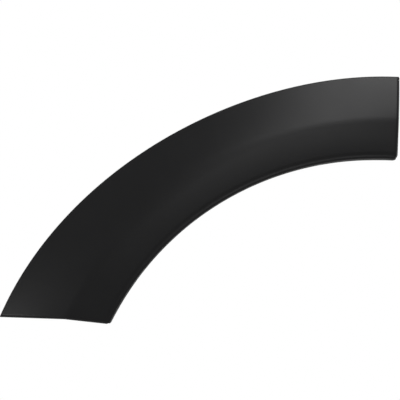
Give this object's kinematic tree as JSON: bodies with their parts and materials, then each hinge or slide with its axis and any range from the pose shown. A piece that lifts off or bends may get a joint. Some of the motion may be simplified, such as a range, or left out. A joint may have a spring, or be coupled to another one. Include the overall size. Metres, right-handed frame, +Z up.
{
  "type": "wheel arch trim",
  "caption": "Curved moulded cover for part of a wheel opening's edge, with a soft crease, a deep flange to the wheel side and push-in clips behind.",
  "frame": {"origin": "on the middle clip's axis, where its sealing skirt meets the body panel", "axes": "+X to the right seen from outside the car, along the body side; +Y into the body, the way the clips push in; +Z up"},
  "size_m": [0.4454, 0.0675, 0.2742],
  "materials": {
    "textured_black": "fine grained satin black polypropylene, coloured right through",
    "clip_plastic": "plain natural white nylon"
  },
  "bodies": {
    "root": {"arch_trim": "textured_black", "panel_clip_1": "clip_plastic", "panel_clip_2": "clip_plastic", "panel_clip_3": "clip_plastic", "panel_clip_4": "clip_plastic", "panel_clip_5": "clip_plastic"}
  },
  "joints": []
}
